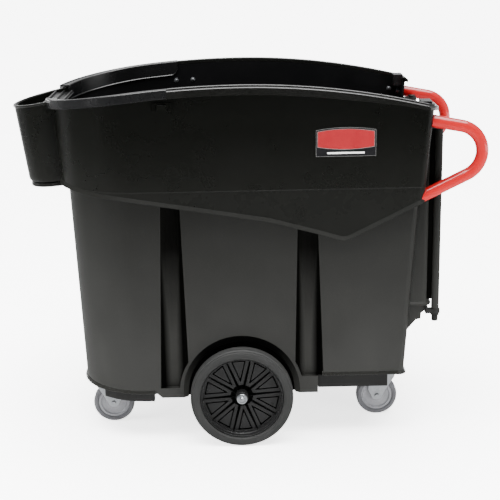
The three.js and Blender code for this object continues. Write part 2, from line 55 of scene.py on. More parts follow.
# ---- driving dimensions, the same as the frame's ----
WALL = 7
RIM_TOP = 1080
RIM_PEAK_X = 12
RIM_FALL_FRONT = 1.8e-4
RIM_FALL_REAR = 2.3e-4
LIP_DROP = 26
CREASE_Z = 778
FLOOR_TOP = 214
FLOOR_UNDER = 206
GUARD_END_X = -190
GUARD_PANEL_DEPTH = 47
MOUTH_HALF = 140
LEDGE_Z = 1004
NOSE_TIP_TOP_X = -670
NOSE_TIP_LOW_X = -641
NOSE_TOP_Z = 992
NOSE_LOW_Z = 755
NOSE_TOP_R = 150
NOSE_LOW_R = 131
SKID_THICK = 13
WHEEL_R = 152.4
WHEEL_OUT = 345
TYRE_IN = 299
WELL_R = 160
WELL_BACK = 268
ARCH_RIDGE_R = 186
FRONT_SILL_Z = 170
REAR_SILL_Z = 200
CHANNEL_MIDDLE = 200
CASTER_R = 63.5
CASTER_TRAIL = 35
CASTER_MOUNT_Z = 151.5
CASTERS = (("front", -437, 120, 1), ("rear", 460, 108, -1))
HANDLE_R = 17.5
HANDLE_Y = 305
HANDLE_BEND = (619, 875)
HANDLE_BEND_R = 74
HANDLE_TOP_SLOPE = 11
HANDLE_LOW_SLOPE = 26
HANDLE_UPPER_ARM = 95
HANDLE_LOWER_ARM = 150
RAIL_R = 11.5
RAIL_X = 577
RAIL_Y = 265
RAIL_LOW_Z = 380
RAIL_WEB = 5
RAIL_TOP_Z = 955
SHELF_Z = 408
SIDES = (("left", -1), ("right", 1))

# Plan outlines: front, rear, half width, front corner radius, rear corner radius.
SKIRT_TOP = (-541, 560, 340, 241, 22)
SKIRT_CREASE = (-525, 535, 330, 232, 22)
SKIRT_LOW = (-503, 519, 309, 222, 22)
BODY_TOP = (-507, 526, 305, 214, 22)
BODY_LOW = (-482, 480, 288, 200, 20)
SKIRT_TOP_Z = 1100
SKIRT_LOW_Z = 600
BODY_TOP_Z = 800
BODY_LOW_Z = 120


def lerp(a, b, t):
    return a + (b - a) * t


# ---- plane shapes ----
def arc(cx, cy, r, start, end, steps):
    """Points on an arc, angles in degrees."""
    found = []
    for i in range(steps + 1):
        a = math.radians(lerp(start, end, i / steps))
        found.append((cx + r * math.cos(a), cy + r * math.sin(a)))
    return found


def rounded(corners, steps=5):
    """A closed outline whose corners are (x, y) or (x, y, radius)."""
    found = []
    n = len(corners)
    for i, corner in enumerate(corners):
        p = Vector(corner[:2])
        r = corner[2] if len(corner) > 2 else 0
        if r <= 0:
            found.append((p.x, p.y))
            continue
        before = Vector(corners[i - 1][:2]) - p
        after = Vector(corners[(i + 1) % n][:2]) - p
        room = min(before.length, after.length) * 0.49
        before.normalize()
        after.normalize()
        half = before.angle(after) / 2
        reach = r / math.tan(half)
        if reach > room:
            reach = room
            r = reach * math.tan(half)
        middle = p + (before + after).normalized() * (r / math.sin(half))
        a = p + before * reach - middle
        b = p + after * reach - middle
        turn = math.atan2(a.x * b.y - a.y * b.x, a.dot(b))
        for k in range(steps + 1):
            q = middle + Matrix.Rotation(turn * k / steps, 2) @ a
            found.append((q.x, q.y))
    return found


def plan_frames(spec, inset=0, straight=1, front_steps=28, rear_steps=8):
    """A plan outline, anticlockwise from the rear: (x, y, outward x, outward y)."""
    front, rear, half, front_r, rear_r = spec
    f = max(front_r - inset, 4)
    r = max(rear_r - inset, 3)
    x0 = front + inset
    x1 = rear - inset
    h = half - inset
    corners = (
        (x1 - r, h - r, r, 0, rear_steps),
        (x0 + f, h - f, f, 90, front_steps),
        (x0 + f, f - h, f, 180, front_steps),
        (x1 - r, r - h, r, 270, rear_steps),
    )
    found = []
    for k, (cx, cy, radius, start, steps) in enumerate(corners):
        for i in range(steps + 1):
            a = math.radians(start + 90 * i / steps)
            c, s = math.cos(a), math.sin(a)
            found.append((cx + radius * c, cy + radius * s, c, s))
        nx, ny, nr, *_ = corners[(k + 1) % 4]
        a = math.radians(start + 90)
        c, s = math.cos(a), math.sin(a)
        here = (cx + radius * c, cy + radius * s)
        there = (nx + nr * c, ny + nr * s)
        for i in range(1, straight):
            t = i / straight
            found.append((lerp(here[0], there[0], t), lerp(here[1], there[1], t), c, s))
    return found


def plan(spec, inset=0):
    return [(x, y) for x, y, _, _ in plan_frames(spec, inset)]


def rim_z(x):
    fall = RIM_FALL_FRONT if x < RIM_PEAK_X else RIM_FALL_REAR
    return RIM_TOP - fall * (x - RIM_PEAK_X) ** 2


def body_half(z):
    return lerp(BODY_LOW[2], BODY_TOP[2], (z - BODY_LOW_Z) / (BODY_TOP_Z - BODY_LOW_Z))


def skirt_half(z):
    return lerp(SKIRT_CREASE[2], SKIRT_TOP[2], (z - CREASE_Z) / (SKIRT_TOP_Z - CREASE_Z))


def lip_drop(x):
    return LIP_DROP - 0.04 * max(0, x - 300)


# The skirt's lower edge in side view: (x, z, radius).
BELLY = rounded(
    [(-700, 781), (-486, 775.5, 250), (-334, 758, 300), (-110, 720.5, 400), (90, 686, 300),
     (228, 647, 200), (306, 622.5, 40), (502, 723, 300), (545, 747, 300), (620, 789)],
    6,
)


def belly_z(x):
    for (xa, za), (xb, zb) in zip(BELLY, BELLY[1:]):
        if xa <= x <= xb and xb > xa:
            return lerp(za, zb, (x - xa) / (xb - xa))
    return BELLY[-1][1]


# ---- solids ----
def linked(mesh, name="shape"):
    """A mesh as a new object of the scene."""
    obj = bpy.data.objects.new(name, mesh)
    scene.collection.objects.link(obj)
    return obj


def raw(verts, faces):
    """A mesh object in millimetres scaled to metres, its faces turned outward."""
    mesh = bpy.data.meshes.new("shape")
    mesh.from_pydata([(x * MM, y * MM, z * MM) for x, y, z in verts], [], faces)
    bm = bmesh.new()
    bm.from_mesh(mesh)
    bmesh.ops.remove_doubles(bm, verts=bm.verts, dist=2e-7)
    bmesh.ops.recalc_face_normals(bm, faces=bm.faces)
    bm.to_mesh(mesh)
    bm.free()
    return linked(mesh)


def drop(obj):
    mesh = obj.data
    bpy.data.objects.remove(obj)
    bpy.data.meshes.remove(mesh)


def combine(base, operation, *others):
    """The base solid united with, cut by or kept inside the others, which are used up."""
    for other in others:
        mod = base.modifiers.new("solid", "BOOLEAN")
        mod.operation = operation
        mod.solver = "MANIFOLD"
        mod.object = other
    bpy.context.view_layer.update()
    graph = bpy.context.evaluated_depsgraph_get()
    made = bpy.data.meshes.new_from_object(base.evaluated_get(graph))
    base.modifiers.clear()
    old = base.data
    base.data = made
    bpy.data.meshes.remove(old)
    for other in others:
        drop(other)
    return base


def join(base, *others):
    return combine(base, "UNION", *others)


def cut(base, *others):
    return combine(base, "DIFFERENCE", *others)


def keep(base, *others):
    return combine(base, "INTERSECT", *others)


def copy(obj):
    return linked(obj.data.copy())


def gather(objs):
    """Several closed shells as one object."""
    bm = bmesh.new()
    for obj in objs:
        bm.from_mesh(obj.data)
    mesh = bpy.data.meshes.new("shape")
    bm.to_mesh(mesh)
    bm.free()
    for obj in objs:
        drop(obj)
    return linked(mesh)


def skin(rings, closed=False):
    """Quads through rings of equally many points, capped at both ends unless closed."""
    n = len(rings[0])
    verts = [p for ring in rings for p in ring]
    faces = []
    count = len(rings)
    for k in range(count if closed else count - 1):
        a0 = k * n
        b0 = (k + 1) % count * n
        for i in range(n):
            j = (i + 1) % n
            faces.append((a0 + i, a0 + j, b0 + j, b0 + i))
    if not closed:
        faces.append(tuple(reversed(range(n))))
        faces.append(tuple(range((count - 1) * n, count * n)))
    return raw(verts, faces)


def loft(rings):
    """Rings are (height or a function of x, plan points)."""
    return skin([[(x, y, z(x) if callable(z) else z) for x, y in points] for z, points in rings])


def prism(points, y0=-500, y1=500):
    """A side elevation, [x, z], made solid between two Y places."""
    return skin([[(x, y, z) for x, z in points] for y in (y0, y1)])


def box(x0, x1, y0, y1, z0, z1):
    y0, y1 = min(y0, y1), max(y0, y1)
    return prism([(x0, z0), (x1, z0), (x1, z1), (x0, z1)], y0, y1)


def lathe_y(profile, segments=96, x=0, z=0):
    """A closed profile of (radius, y) turned about an axis along Y."""
    rings = []
    for k in range(segments):
        a = 2 * math.pi * k / segments - math.pi / 2
        c, s = math.cos(a), math.sin(a)
        rings.append([(x + r * c, y, z + r * s) for r, y in profile])
    return skin(rings, closed=True)


def lathe_z(profile, segments=48, x=0, y=0):
    """A closed profile of (radius, z) turned about an upright axis."""
    rings = []
    for k in range(segments):
        a = 2 * math.pi * k / segments
        c, s = math.cos(a), math.sin(a)
        rings.append([(x + r * c, y + r * s, z) for r, z in profile])
    return skin(rings, closed=True)


def sweep(frames, section):
    """A section (outward, up) carried along frames of (x, y, z, outward x, outward y)."""
    lean = (SKIRT_TOP[2] - SKIRT_CREASE[2]) / (SKIRT_TOP_Z - CREASE_Z)
    rings = []
    for x, y, z, nx, ny in frames:
        points = section(x) if callable(section) else section
        ring = []
        for o, h in points:
            out = o + h * lean
            ring.append((x + nx * out, y + ny * out, z + h))
        rings.append(ring)
    return skin(rings)


def mirrored(obj):
    """A copy of a solid for the other side of the cart."""
    twin = copy(obj)
    twin.data.transform(Matrix.Scale(-1, 4, (0, 1, 0)))
    twin.data.flip_normals()
    return twin


# ---- node materials ----
class Nodes:
    """A material under construction: a principled shader with helpers round it."""

    def __init__(self, name):
        self.material = bpy.data.materials.new(name)
        self.material.use_nodes = True
        self.tree = self.material.node_tree
        self.shader = self.tree.nodes["Principled BSDF"]
        self.place = self.new("ShaderNodeTexCoord").outputs["Object"]

    def new(self, kind, **values):
        node = self.tree.nodes.new(kind)
        for key, value in values.items():
            setattr(node, key, value)
        return node

    def link(self, a, b):
        self.tree.links.new(a, b)

    def feed(self, node, **values):
        """Each value goes into the node's own socket, or is linked to it if it is a socket."""
        for key, value in values.items():
            socket = node.inputs[key.replace("_", " ")]
            if isinstance(value, bpy.types.NodeSocket):
                self.link(value, socket)
            else:
                socket.default_value = value
        return node

    def set(self, **values):
        self.feed(self.shader, **values)

    def noise(self, scale, detail=3, rough=0.55, stretch=None):
        source = self.place
        if stretch:
            shift = self.feed(self.new("ShaderNodeMapping"), Vector=source, Scale=stretch)
            source = shift.outputs["Vector"]
        node = self.new("ShaderNodeTexNoise")
        self.feed(node, Vector=source, Scale=scale, Detail=detail, Roughness=rough)
        return node.outputs["Fac"]

    def spread(self, fac, low, high, start=0.3, end=0.7):
        """A value's range from start to end stretched over low to high."""
        node = self.new("ShaderNodeMapRange")
        self.feed(node, Value=fac, From_Min=start, From_Max=end, To_Min=low, To_Max=high)
        return node.outputs["Result"]

    def math(self, operation, a, b=0.0):
        node = self.new("ShaderNodeMath", operation=operation)
        for socket, value in zip(node.inputs, (a, b)):
            if isinstance(value, float):
                socket.default_value = value
            else:
                self.link(value, socket)
        return node.outputs["Value"]

    def split(self, vector):
        return self.feed(self.new("ShaderNodeSeparateXYZ"), Vector=vector).outputs

    def mix(self, fac, a, b):
        node = self.new("ShaderNodeMix", data_type="RGBA")
        self.link(fac, node.inputs["Factor"])
        for socket, value in ((node.inputs[6], a), (node.inputs[7], b)):
            if isinstance(value, tuple):
                socket.default_value = (*value, 1)
            else:
                self.link(value, socket)
        return node.outputs[2]

    def bump(self, *layers):
        """Layers are (height, distance in metres, strength)."""
        normal = None
        for height, distance, strength in layers:
            node = self.new("ShaderNodeBump")
            self.feed(node, Height=height, Distance=distance, Strength=strength)
            if normal is not None:
                self.feed(node, Normal=normal)
            normal = node.outputs["Normal"]
        self.set(Normal=normal)


def plastic(name, dark, light, low, high, specular=0.3, grain=0.5, coat=0.0, top=None, shade_span=(0, 1)):
    """Moulded polyethylene: faint cloudiness, flow marks, and a fine pebble grain.

    The roughness runs from low to high, and the colour turns to top over a span of heights: a painted
    shade, darker towards the top.
    """
    m = Nodes(name)
    cloud = m.noise(5, 5, 0.6)
    speck = m.noise(420, 2, 0.6)
    flow = m.noise(3.2, 3, 0.5, (1, 1, 0.25))
    base = m.mix(m.spread(cloud, 0, 1), dark, light)
    # Painted shade: the colour turns to top over the span of heights.
    if top:
        base = m.mix(m.spread(m.split(m.place)["Z"], 0, 1, *shade_span), base, top)
    dust_and_shade = m.mix(m.spread(speck, 0, 0.35, 0.55, 0.8), base, tuple(c * 1.9 for c in light))
    m.set(Base_Color=dust_and_shade, Roughness=m.spread(cloud, low, high))
    m.bump((flow, 0.004, 0.12), (m.noise(900, 2, 0.6), 0.00025, grain))
    m.set(Specular_IOR_Level=specular, Coat_Weight=coat, Coat_Roughness=0.04)
    return m.material


def rubber(name, dark, light, rough=0.7):
    m = Nodes(name)
    cloud = m.noise(22, 5, 0.62)
    dust = m.noise(240, 3, 0.6)
    base = m.mix(m.spread(cloud, 0, 1), dark, light)
    worn = m.mix(m.spread(dust, 0, 0.5, 0.5, 0.8), base, tuple(min(1, c * 1.5) for c in light))
    m.set(Base_Color=worn, Roughness=m.spread(cloud, rough - 0.08, rough + 0.1))
    m.bump((m.noise(60, 4), 0.0008, 0.25), (m.noise(1500, 2), 0.0002, 0.5))
    m.set(Specular_IOR_Level=0.3)
    return m.material


def zinc(name, dark, light, low, high):
    """Bright zinc plate: spangled grains, each a little duller or brighter."""
    m = Nodes(name)
    grain = m.feed(m.new("ShaderNodeTexVoronoi", feature="F1"), Vector=m.place, Scale=260)
    tones = m.feed(m.new("ShaderNodeSeparateColor"), Color=grain.outputs["Color"])
    smear = m.noise(35, 4, 0.6)
    base = m.mix(m.spread(smear, 0, 1), dark, light)
    flecked = m.mix(m.spread(tones.outputs["Red"], 0, 0.3, 0, 1), base, light)
    m.set(Base_Color=flecked, Roughness=m.spread(smear, low, high))
    m.bump((m.noise(700, 3), 0.0002, 0.35))
    m.set(Metallic=1.0)
    return m.material


# The skirt's plastic, with a painted shade that darkens it towards the rim.
TUB = plastic(
    "tub_plastic_black", (0.0024, 0.0025, 0.0021), (0.0034, 0.0035, 0.0030), 0.24, 0.34, 0.09,
    top=(0.0013, 0.0014, 0.0011), shade_span=(0.76, 0.94)
)
# The lower body's plastic, lighter than the skirt's, with a painted shade that darkens it towards the top
# under the skirt's overhang; the rails, beads and shelf in it take that shade too.
BODY = plastic(
    "tub_plastic_body", (0.0090, 0.0091, 0.0084), (0.0116, 0.0117, 0.0108), 0.36, 0.48, 0.1,
    top=(0.0034, 0.0035, 0.0030), shade_span=(0.25, 0.78)
)
# A darker copy of the skirt's plastic for the tub's inside: painted shade.
INNER = plastic("tub_plastic_inside", (0.0015, 0.0016, 0.0017), (0.0022, 0.0022, 0.0024), 0.3, 0.42, 0.06)
EDGE = plastic("tub_plastic_edge", (0.0044, 0.0045, 0.0040), (0.0062, 0.0062, 0.0055), 0.2, 0.32, 0.3)
RIM = plastic("rim_plastic_black", (0.0020, 0.0021, 0.0018), (0.0030, 0.0030, 0.0027), 0.16, 0.26, 0.3)
GUARD = plastic("guard_plastic_black", (0.0020, 0.0021, 0.0022), (0.0032, 0.0032, 0.0034), 0.2, 0.32, 0.3)
BASE = plastic("base_plastic_black", (0.0048, 0.0048, 0.0046), (0.0066, 0.0066, 0.0064), 0.5, 0.64, 0.1)
WHEEL_RIM = plastic(
    "wheel_rim_plastic", (0.0052, 0.0052, 0.0052), (0.0074, 0.0074, 0.0074), 0.22, 0.32, 0.2
)
HANDLE_RED = plastic(
    "handle_plastic_red", (0.15, 0.0022, 0.0030), (0.18, 0.0032, 0.0040), 0.34, 0.44, 0.05, 0.1, 0.5
)
TYRE = rubber("tyre_rubber_grey", (0.0062, 0.0064, 0.0061), (0.0088, 0.0090, 0.0086))
TREAD = rubber("caster_tread_grey", (0.034, 0.034, 0.037), (0.046, 0.046, 0.050), 0.6)
CORE = rubber("caster_core_grey", (0.085, 0.086, 0.092), (0.11, 0.111, 0.118), 0.42)
NYLON = rubber("nylon_white", (0.20, 0.196, 0.18), (0.26, 0.255, 0.235), 0.42)
ZINC = zinc("zinc_plate", (0.40, 0.42, 0.44), (0.66, 0.68, 0.70), 0.24, 0.44)
DULL_ZINC = zinc("zinc_plate_dull", (0.06, 0.062, 0.066), (0.14, 0.145, 0.15), 0.4, 0.6)


def channel_plastic():
    """The side channels' plastic: pale along the middle, unlit at its edges and under the skirt."""
    m = Nodes("tub_plastic_channel")
    at = m.split(m.place)
    along = m.math("ABSOLUTE", m.math("SUBTRACT", at["X"], AXLE_X))
    aside = m.math("ABSOLUTE", m.math("SUBTRACT", along, CHANNEL_MIDDLE * MM))
    edge = m.spread(aside, 0, 1, 0.008, 0.027)
    height = m.spread(at["Z"], 0, 0.95, 0.32, 0.6)
    cloud = m.noise(5, 5, 0.6)
    low = m.mix(m.spread(cloud, 0, 1), (0.0092, 0.0093, 0.0086), (0.0118, 0.0119, 0.0110))
    high = m.mix(m.spread(cloud, 0, 1), (0.0003, 0.0003, 0.0002), (0.0006, 0.0006, 0.0005))
    m.set(Base_Color=m.mix(m.math("MAXIMUM", edge, height), low, high))
    m.set(Roughness=m.spread(cloud, 0.44, 0.56))
    m.bump((m.noise(900, 2, 0.6), 0.00025, 0.5))
    m.set(Specular_IOR_Level=0.015)
    return m.material


def arch_plastic():
    """The wheel arch's flare: unlit wherever it faces down over the wheel."""
    m = Nodes("tub_plastic_arch")
    facing = m.split(m.new("ShaderNodeNewGeometry").outputs["Normal"])
    down = m.spread(facing["Z"], 1, 0, -0.46, -0.1)
    cloud = m.noise(5, 5, 0.6)
    pale = m.mix(m.spread(cloud, 0, 1), (0.0080, 0.0081, 0.0074), (0.0104, 0.0105, 0.0097))
    m.set(Base_Color=m.mix(down, pale, (0.0003, 0.0003, 0.0003)))
    m.set(Roughness=m.spread(cloud, 0.4, 0.52))
    m.bump((m.noise(900, 2, 0.6), 0.00025, 0.5))
    m.set(Specular_IOR_Level=0.03)
    return m.material


CHANNEL = channel_plastic()
ARCH = arch_plastic()
SHADED = plastic("plastic_shaded", (0.0003, 0.0003, 0.0003), (0.0006, 0.0006, 0.0005), 0.5, 0.6, 0.02)


# ---- putting a finished piece in place ----
def soften(obj, bevel, limit):
    """A bevel, in millimetres, on the edges that turn more than a limit."""
    mod = obj.modifiers.new("soft_edges", "BEVEL")
    mod.width = bevel * MM
    mod.segments = 2
    mod.limit_method = "ANGLE"
    mod.angle_limit = limit


def place(obj, name, material, body, replaces=(), sharp=32, bevel=0.0, move=None):
    """Shades a solid, puts it in the row frame, and lets it ride on a body."""
    obj.name = name
    obj.data.name = name
    if move is not None:
        obj.data.transform(move)
    obj.data.transform(TO_ROW)
    obj.data.materials.clear()
    obj.data.materials.append(material)
    bm = bmesh.new()
    bm.from_mesh(obj.data)
    bmesh.ops.remove_doubles(bm, verts=bm.verts, dist=1e-6)
    bmesh.ops.dissolve_degenerate(bm, dist=1e-6, edges=bm.edges)
    for face in bm.faces:
        face.smooth = True
        face.material_index = 0
    limit = math.radians(sharp)
    for edge in bm.edges:
        if len(edge.link_faces) == 2 and not bevel:
            edge.smooth = edge.calc_face_angle(0) < limit
    bm.to_mesh(obj.data)
    bm.free()
    if bevel:
        soften(obj, bevel, limit)
    mod = obj.modifiers.new("shading", "WEIGHTED_NORMAL")
    mod.keep_sharp = True
    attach(obj, body)
    if replaces:
        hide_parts(*replaces)
    return obj


def dress(node, material, bevel=0.6):
    """A frame node that keeps its shape gets its material and softened edges."""
    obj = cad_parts[node]
    obj.data.materials.clear()
    obj.data.materials.append(material)
    mod = obj.modifiers.new("weld", "WELD")
    mod.merge_threshold = 1e-5
    soften(obj, bevel, math.radians(32))


# ---- the tub ----
def blend_plan(a, b, t):
    return tuple(lerp(p, q, t) for p, q in zip(a, b))


def skirt_block(inset):
    """The skirt's outside as one block, its crease a little rounded."""
    levels = (
        (SKIRT_LOW_Z, SKIRT_LOW),
        (CREASE_Z - 3, blend_plan(SKIRT_LOW, SKIRT_CREASE, 0.983)),
        (CREASE_Z + 3, blend_plan(SKIRT_CREASE, SKIRT_TOP, 0.0093)),
        (SKIRT_TOP_Z, SKIRT_TOP),
    )
    return loft([(z, plan(spec, inset)) for z, spec in levels])


def rim_line(start, end, offset, steps=48):
    xs = [lerp(start, end, i / steps) for i in range(steps + 1)]
    return [(x, rim_z(x) + offset) for x in xs]


def skirt(inset):
    low = [(x, z + inset) for x, z in BELLY]
    top = rim_line(620, -700, 20 if inset else -5.5)
    return keep(skirt_block(inset), prism(low + top))


def channel_edges(z, end, grow):
    shift = 4 if end < 0 else 0
    return 158 - shift + 0.022 * (z - 160) - grow, 245 - shift - 0.034 * (z - 207) + grow


def channel(s, end, grow):
    """One upright channel in a side panel, with its edges and floor corners rounded."""

    def section(z):
        near, far = channel_edges(z, end, grow)
        face = body_half(z) - grow
        points = rounded(
            [
                (near - 9, 360), (near - 9, face + 0.06), (near, face + 0.06, 3.2),
                (near + 20, face - 18, 26), (far - 20, face - 18, 26),
                (far, face + 0.06, 3.2), (far + 9, face + 0.06), (far + 9, 360),
            ],
            6,
        )
        return [(end * x, s * y) for x, y in points]

    sill = (FRONT_SILL_Z if end < 0 else REAR_SILL_Z) - grow
    made = loft([(sill, section(sill)), (BODY_TOP_Z, section(BODY_TOP_Z))])
    r = ARCH_RIDGE_R - grow
    ridge = rounded(
        [(0, 200), (r + 3, 200), (r + 1.5, body_half(250) - 14 - grow), (r - 3.5, 320), (0, 320)]
    )
    return cut(made, lathe_y([(a, s * b) for a, b in ridge], 160, 0, WHEEL_R))


def in_channel(x, y, z):
    """Whether a point on the outer skin lies down inside one of the side channels."""
    near, far = channel_edges(z, x, 0)
    return near - 1 < abs(x) < far + 1 and abs(y) < body_half(z) - 0.8


def wheel_well(s, grow):
    """One wheel arch: a shallow round recess whose flared side rounds over into the panel."""
    back = WELL_BACK - grow
    r = WELL_R + grow
    profile = rounded(
        [
            (0, back), (r - 5, back, 4), (r - 2, back + 9, 6), (r + 24, back + 28, 9),
            (r + 46, back + 33), (r + 46, 420), (0, 420),
        ],
        6,
    )
    turned = lathe_y([(a, s * b) for a, b in profile], 160, 0, WHEEL_R)
    mouth = box(-r, r, s * back, s * 360, 40, WHEEL_R)
    return join(turned, mouth)


def body_block(inset):
    return loft([(BODY_LOW_Z, plan(BODY_LOW, inset)), (BODY_TOP_Z, plan(BODY_TOP, inset))])


def lower_body(inset):
    cutters = []
    for _, s in SIDES:
        cutters += [channel(s, -1, inset), channel(s, 1, inset), wheel_well(s, inset)]
    body = cut(body_block(inset), *cutters)
    if inset:
        return body
    foot = [
        (-600, 152), (-252, 152), (-238, 139), (-150, 139), (150, 147),
        (228, 147), (229, 200), (600, 200), (600, 900), (-600, 900),
    ]
    return keep(body, prism(foot))


def rear_bulge(inset):
    spec = (400, 562, 272, 20, 26)
    block = loft([(SHELF_Z + inset, plan(spec, inset)), (940, plan(spec, inset))])
    slope = [
        (380, 300), (620, 300), (620, 840),
        (562 - inset, 905), (546 - inset, 945), (380, 945),
    ]
    return keep(block, prism(slope))


def gusset(s):
    points = rounded(
        [
            (476, 412), (476, 330), (493, 330, 3), (521, 363, 3),
            (535, 366, 3), (536, 384, 3), (547, 392, 3), (547, 412),
        ],
        3,
    )
    return prism(points, s * 256, s * 268)


def tub_body():
    shelf = (420, 566, 276, 20, 28)
    outside = join(
        skirt(0),
        lower_body(0),
        rear_bulge(0),
        loft([(SHELF_Z, plan(shelf, 1.2)), (SHELF_Z + 1.2, plan(shelf)),
              (SHELF_Z + 6, plan(shelf)), (SHELF_Z + 18, plan(shelf, 8))]),
        gusset(-1),
        gusset(1),
    )
    inner_body = cut(lower_body(WALL), box(-600, 600, -400, 400, FLOOR_UNDER, FLOOR_TOP))
    inside = join(skirt(WALL), inner_body, rear_bulge(WALL))
    mouth = box(-700, -524, -MOUTH_HALF - 2, MOUTH_HALF + 2, LEDGE_Z - 8, 1200)
    rear_gap = box(500, 700, -258, 258, 948, 1200)
    slots = [box(-12, 12, s * 240, s * 320, 60, WHEEL_R + 12) for _, s in SIDES]
    return cut(outside, inside, mouth, rear_gap, *slots)


# The tub's material slots, in the order in which the materials are added to it.
BODY_SLOT, SKIRT_SLOT, INNER_SLOT, CHANNEL_SLOT, SHADED_SLOT, ARCH_SLOT = range(6)


def tub_slot(face):
    """The slot for a face, from where it lies and whether it faces inward."""
    x, y, z = ((v - o) / MM for v, o in zip(face.center, (AXLE_X, 0, 0)))
    inward = face.normal.y * y + face.normal.x * (x if abs(x) > 440 else 0) < -1
    from_axle = math.hypot(x, z - WHEEL_R)
    # The inside, the channels, the arch ridge's flank, the well's back and the arch's flare get painted
    # shade.
    if inward and z > FLOOR_TOP:
        return INNER_SLOT
    if z > belly_z(x) - 1.5:
        return SKIRT_SLOT
    if in_channel(x, y, z) and from_axle > ARCH_RIDGE_R - 5:
        return SHADED_SLOT if from_axle < ARCH_RIDGE_R + 5 else CHANNEL_SLOT
    if from_axle < WELL_R + 1 and abs(y) < WELL_BACK + 9:
        return SHADED_SLOT
    if from_axle < ARCH_RIDGE_R and abs(y) < body_half(z) - 0.3:
        return ARCH_SLOT
    return BODY_SLOT


tub = place(tub_body(), "tub_body", BODY, "cart", ["tub"], 30)
for material in (TUB, INNER, CHANNEL, SHADED, ARCH):
    tub.data.materials.append(material)
for face in tub.data.polygons:
    face.material_index = tub_slot(face)


# ---- beads, rim and guard that run round the tub ----
def round_frames(height, low_spec, top_spec, z_low, z_top, straight=56):
    """Frames all round the tub on its outer face, at a height that depends on x."""
    low = plan_frames(low_spec, 0, straight, 40, 8)
    top = plan_frames(top_spec, 0, straight, 40, 8)
    found = []
    for (xa, ya, nx, ny), (xb, yb, _, _) in zip(low, top):
        x, y = xb, yb
        for _ in range(3):
            z = height(x)
            t = (z - z_low) / (z_top - z_low)
            x, y = lerp(xa, xb, t), lerp(ya, yb, t)
        found.append((x, y, z, nx, ny))
    return found


def half_frames(frames, keeps):
    """The frames on the +Y side that a test keeps, from rear to front."""
    end = next(i for i, f in enumerate(frames) if f[1] <= 1e-6)
    return [f for f in frames[:end] if keeps(f)]


RIM_FRAMES = round_frames(rim_z, SKIRT_CREASE, SKIRT_TOP, CREASE_Z, SKIRT_TOP_Z)


def at_x(frames, x):
    """A frame interpolated to an exact x on the +Y side panel."""
    for a, b in zip(frames, frames[1:]):
        if a[1] > 0 and b[1] > 0 and a[4] > 0.99 and b[4] > 0.99 and b[0] <= x <= a[0]:
            t = (x - a[0]) / (b[0] - a[0])
            return tuple(lerp(p, q, t) for p, q in zip(a, b))
    raise ValueError("no frame at that x")


def rim_section(x):
    drop_here = lip_drop(x)
    out = 20 - 9.5 * min(1, max(0, (x - 530) / 20))
    hollow = lerp(10.6, drop_here - 1, min(1, max(0, (x - 548) / 8)))
    return rounded(
        [
            (-7.4, -hollow - 1.4), (-7.4, 0, 3.2), (2.2, 0, 3.0), (3.6, -6.6, 1.4),
            (out - 13.4, -7.2, 1.0), (out - 11.6, -4.2, 1.4), (out, -5.0, 4.0),
            (out, -drop_here, 0.6), (out - 4.2, -drop_here, 0.4),
            (out - 4.6, -hollow, 0.4), (0.6, -hollow - 0.4, 0.4), (0.6, -hollow - 1.4),
        ],
        4,
    )


def guard_section(x):
    turn = 22
    short = max(0.0, x - (GUARD_END_X - turn))
    depth = GUARD_PANEL_DEPTH - (turn - math.sqrt(max(turn * turn - short * short, 0)))
    return rounded(
        [
            (-13.2, -depth, 1.0), (-13.2, -depth + 2.0, 1.0), (-11.4, -depth + 3.8, 1.2),
            (-11.4, -0.8, 2.8), (9.6, -1.8, 1.2), (12.6, 0, 1.6), (20, 0, 3.4),
            (20.2, -LIP_DROP + 2.5, 1.2), (21.2, -LIP_DROP, 1.2), (15.8, -LIP_DROP, 1.4),
            (15.4, -6, 1.5), (-7.0, -6, 1), (-7.4, -depth, 1.2),
        ],
        4,
    )


def both_sides(obj):
    return gather([obj, mirrored(obj)])


rear_frames = half_frames(RIM_FRAMES, lambda f: f[0] > GUARD_END_X)
rear_frames = [(f[0], 258.0, f[2], 1.0, 0.0) for f in rear_frames[:1]] + rear_frames
rear_frames.append(at_x(RIM_FRAMES, GUARD_END_X + 0.4))
place(both_sides(sweep(rear_frames, rim_section)), "tub_rim", RIM, "cart", (), 35)

front_frames = [at_x(RIM_FRAMES, GUARD_END_X - d) for d in (0.1, 0.6, 2, 5, 9, 14, 19)]
front_frames += half_frames(RIM_FRAMES, lambda f: f[0] < GUARD_END_X - 24 and f[1] > MOUTH_HALF + 1)
ends = [f for f in RIM_FRAMES if f[1] > 0 and f[1] <= MOUTH_HALF + 1 and f[0] < 0]
last, after = front_frames[-1], ends[0]
share = (last[1] - MOUTH_HALF) / (last[1] - after[1])
front_frames.append(tuple(lerp(p, q, share) for p, q in zip(last, after)))
guard = both_sides(sweep(front_frames, guard_section))
across = (1 - MOUTH_HALF, MOUTH_HALF - 1)
ledge = rounded([(-570, 998, 1), (-508, 998, 1), (-508, LEDGE_Z, 1.5), (-570, LEDGE_Z, 1.5)], 3)
ledge = prism(ledge, *across)
ribs = []
for x in (-564, -539, -514):
    rib = rounded([(x - 3, 1002), (x + 3, 1002), (x + 2.6, 1010, 2), (x - 2.6, 1010, 2)], 4)
    ribs.append(prism(rib, *across))
guard = gather([guard, ledge, *ribs])
place(guard, "front_guard", GUARD, "cart", ["front_rim_guard"], 35)

belly_frames = round_frames(belly_z, SKIRT_LOW, SKIRT_CREASE, SKIRT_LOW_Z, CREASE_Z, 90)
BELLY_BEAD = rounded([(-6, -2), (5.6, -2, 0.8), (6.2, -0.4, 1.2), (-0.2, 12.5, 4), (-6, 16)], 4)
CREASE_BEAD = rounded([(-2, -1.6), (0.9, -1.6, 0.8), (0.9, 1.6, 0.8), (-2, 1.6)], 3)
belly_half = half_frames(belly_frames, lambda f: f[1] > 100)
belly_bead = both_sides(sweep(belly_half, BELLY_BEAD))
